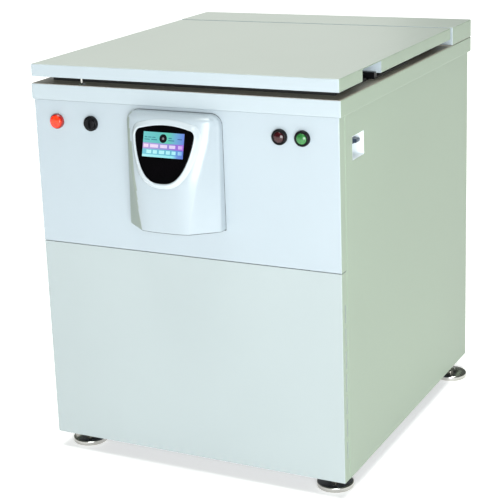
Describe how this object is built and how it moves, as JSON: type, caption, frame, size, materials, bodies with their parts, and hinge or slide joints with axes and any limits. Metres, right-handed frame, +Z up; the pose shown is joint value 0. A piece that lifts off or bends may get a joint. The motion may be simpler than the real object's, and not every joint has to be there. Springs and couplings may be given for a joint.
{
  "type": "laboratory centrifuge",
  "caption": "Floor-standing refrigerated laboratory centrifuge with a rear-hinged lid, swing-out rotor, colour screen housing and panel buttons.",
  "frame": {"origin": "on the floor, below the middle of the bounding box", "axes": "+Z up, -Y towards the control panel, +X to the right seen from the front"},
  "size_m": [0.72, 0.8808, 0.846],
  "materials": {
    "cabinet_white": "powder coat",
    "lid_white": "powder coat",
    "pod_white": "satin moulding",
    "black_plastic": "gloss",
    "window_black": "high gloss",
    "seal_rubber": "matte",
    "bright_steel": "polished",
    "stainless": "brushed",
    "rotor_alloy": "machined",
    "machine_paint": "satin",
    "zinc_plate": "zinc plated",
    "coil_copper": "copper tube",
    "foam_insulation": "closed-cell foam",
    "lcd_screen": "lit display",
    "red_lens": "gloss",
    "dark_red_lens": "gloss",
    "green_lens": "gloss",
    "breaker_blue": "satin",
    "breaker_white": "satin"
  },
  "bodies": {
    "cabinet": {"base_plate": "machine_paint", "foot_front_left": "bright_steel", "foot_front_right": "bright_steel", "foot_rear_left": "bright_steel", "foot_rear_right": "bright_steel", "side_panel_left": "cabinet_white", "side_panel_right": "cabinet_white", "upper_front_panel": "cabinet_white", "lower_front_panel": "cabinet_white", "rear_panel": "cabinet_white", "top_deck": "cabinet_white", "rear_cover": "lid_white", "chamber_bowl": "stainless", "chamber_seal": "seal_rubber", "evaporator_coil": "coil_copper", "chamber_insulation": "foam_insulation", "armour_ring": "machine_paint", "spindle_boot": "seal_rubber", "motor_damper": "seal_rubber", "motor_plate": "zinc_plate", "drive_motor": "machine_paint", "compressor": "machine_paint", "fan_shroud": "zinc_plate", "condenser": "rotor_alloy", "inverter_box": "zinc_plate", "power_inlet_box": "cabinet_white", "pod_housing": "pod_white", "window_frame": "pod_white", "shield_window": "window_black", "lcd_screen": "lcd_screen", "red_bezel": "black_plastic", "selector_bezel": "black_plastic", "stop_bezel": "black_plastic", "start_bezel": "black_plastic", "breaker_pocket": "breaker_white", "breaker_body": "breaker_white", "hinge_leaf_fixed": "zinc_plate", "hinge_pin": "bright_steel", "lid_lock_unit": "zinc_plate"},
    "lid": {"lid_shell": "lid_white", "lid_liner": "black_plastic", "lid_gasket": "seal_rubber", "lid_side_block": "black_plastic", "lid_side_strip": "bright_steel", "lid_striker_pin": "bright_steel", "hinge_leaf_lid": "zinc_plate"},
    "rotor": {"rotor_spindle": "bright_steel", "rotor_yoke": "rotor_alloy", "rotor_knob": "black_plastic"},
    "bucket_1": {"bucket_1": "stainless"},
    "bucket_2": {"bucket_2": "stainless"},
    "bucket_3": {"bucket_3": "stainless"},
    "bucket_4": {"bucket_4": "stainless"},
    "fan": {"condenser_fan": "black_plastic"},
    "red_button": {"red_button": "red_lens"},
    "stop_button": {"stop_button": "dark_red_lens"},
    "start_button": {"start_button": "green_lens"},
    "selector": {"power_selector": "black_plastic"},
    "breaker_lever": {"breaker_toggle": "breaker_blue"},
    "lock_bolt": {"lock_bolt": "bright_steel"}
  },
  "joints": [
    {"name": "lid_hinge", "type": "hinge", "parent": "cabinet", "child": "lid", "pos_m": [0, 0.2749, 0.841], "axis": [-1, 0, 0], "range_deg": [0, 75]},
    {"name": "rotor_spin", "type": "hinge", "parent": "cabinet", "child": "rotor", "pos_m": [0, -0.0496, 0.69], "axis": [0, 0, 1], "continuous": true},
    {"name": "bucket_1_swing", "type": "hinge", "parent": "rotor", "child": "bucket_1", "pos_m": [0.099, -0.0496, 0.69], "axis": [0, -1, 0], "range_deg": [0, 90]},
    {"name": "bucket_2_swing", "type": "hinge", "parent": "rotor", "child": "bucket_2", "pos_m": [0, 0.0494, 0.69], "axis": [1, 0, 0], "range_deg": [0, 90]},
    {"name": "bucket_3_swing", "type": "hinge", "parent": "rotor", "child": "bucket_3", "pos_m": [-0.099, -0.0496, 0.69], "axis": [0, 1, 0], "range_deg": [0, 90]},
    {"name": "bucket_4_swing", "type": "hinge", "parent": "rotor", "child": "bucket_4", "pos_m": [0, -0.1486, 0.69], "axis": [-1, 0, 0], "range_deg": [0, 90]},
    {"name": "fan_spin", "type": "hinge", "parent": "cabinet", "child": "fan", "pos_m": [-0.14, 0.3474, 0.224], "axis": [0, 1, 0], "continuous": true},
    {"name": "red_button_press", "type": "slide", "parent": "cabinet", "child": "red_button", "axis": [0, 1, 0], "range_m": [0, 0.003], "stiffness_N_per_m": 500, "springref_m": -0.002},
    {"name": "stop_button_press", "type": "slide", "parent": "cabinet", "child": "stop_button", "axis": [0, 1, 0], "range_m": [0, 0.003], "stiffness_N_per_m": 500, "springref_m": -0.002},
    {"name": "start_button_press", "type": "slide", "parent": "cabinet", "child": "start_button", "axis": [0, 1, 0], "range_m": [0, 0.003], "stiffness_N_per_m": 500, "springref_m": -0.002},
    {"name": "selector_turn", "type": "hinge", "parent": "cabinet", "child": "selector", "pos_m": [-0.202, -0.3676, 0.73], "axis": [0, 1, 0], "range_deg": [0, 90]},
    {"name": "breaker_toggle_throw", "type": "hinge", "parent": "cabinet", "child": "breaker_lever", "pos_m": [0.3208, -0.2616, 0.7075], "axis": [0, 1, 0], "range_deg": [0, 60]},
    {"name": "lock_bolt_slide", "type": "slide", "parent": "cabinet", "child": "lock_bolt", "axis": [1, 0, 0], "range_m": [0, 0.009]}
  ]
}
